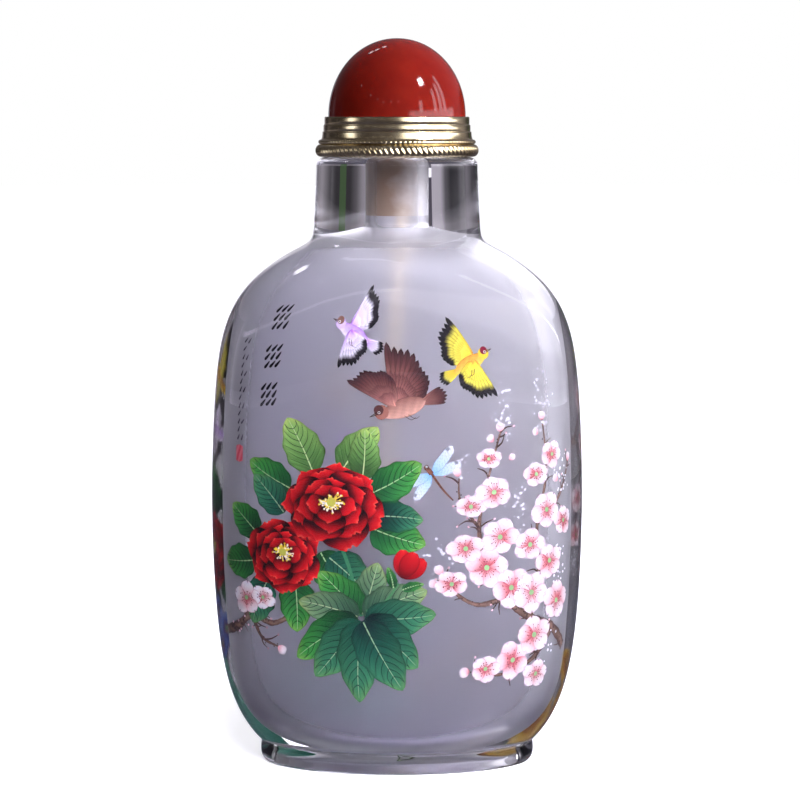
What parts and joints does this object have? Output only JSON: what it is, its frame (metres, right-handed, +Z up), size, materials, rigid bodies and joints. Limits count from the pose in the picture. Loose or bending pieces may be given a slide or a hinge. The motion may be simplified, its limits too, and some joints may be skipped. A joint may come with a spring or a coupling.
{
  "type": "snuff bottle",
  "caption": "Flattened hollow glass snuff bottle with a round neck, an oval foot, and a domed stopper with a brass collar, cork plug and long spoon.",
  "frame": {"origin": "middle of the underside of the foot", "axes": "+Z up, X along the bottle's width, Y through its thickness; the front face looks along -Y"},
  "size_m": [0.0452, 0.027, 0.088],
  "materials": {
    "bottle_glass": "clear polished glass outside, finely ground inside, where the picture is painted",
    "red_glass": "polished opaque red glass",
    "brass": "polished, gilt",
    "cork": "natural cork",
    "spoon_bone": "smooth, cream"
  },
  "bodies": {
    "root": {"bottle": "bottle_glass", "stopper_cabochon": "red_glass", "stopper_collar": "brass", "stopper_plug": "cork", "stopper_spoon": "spoon_bone"}
  },
  "joints": []
}
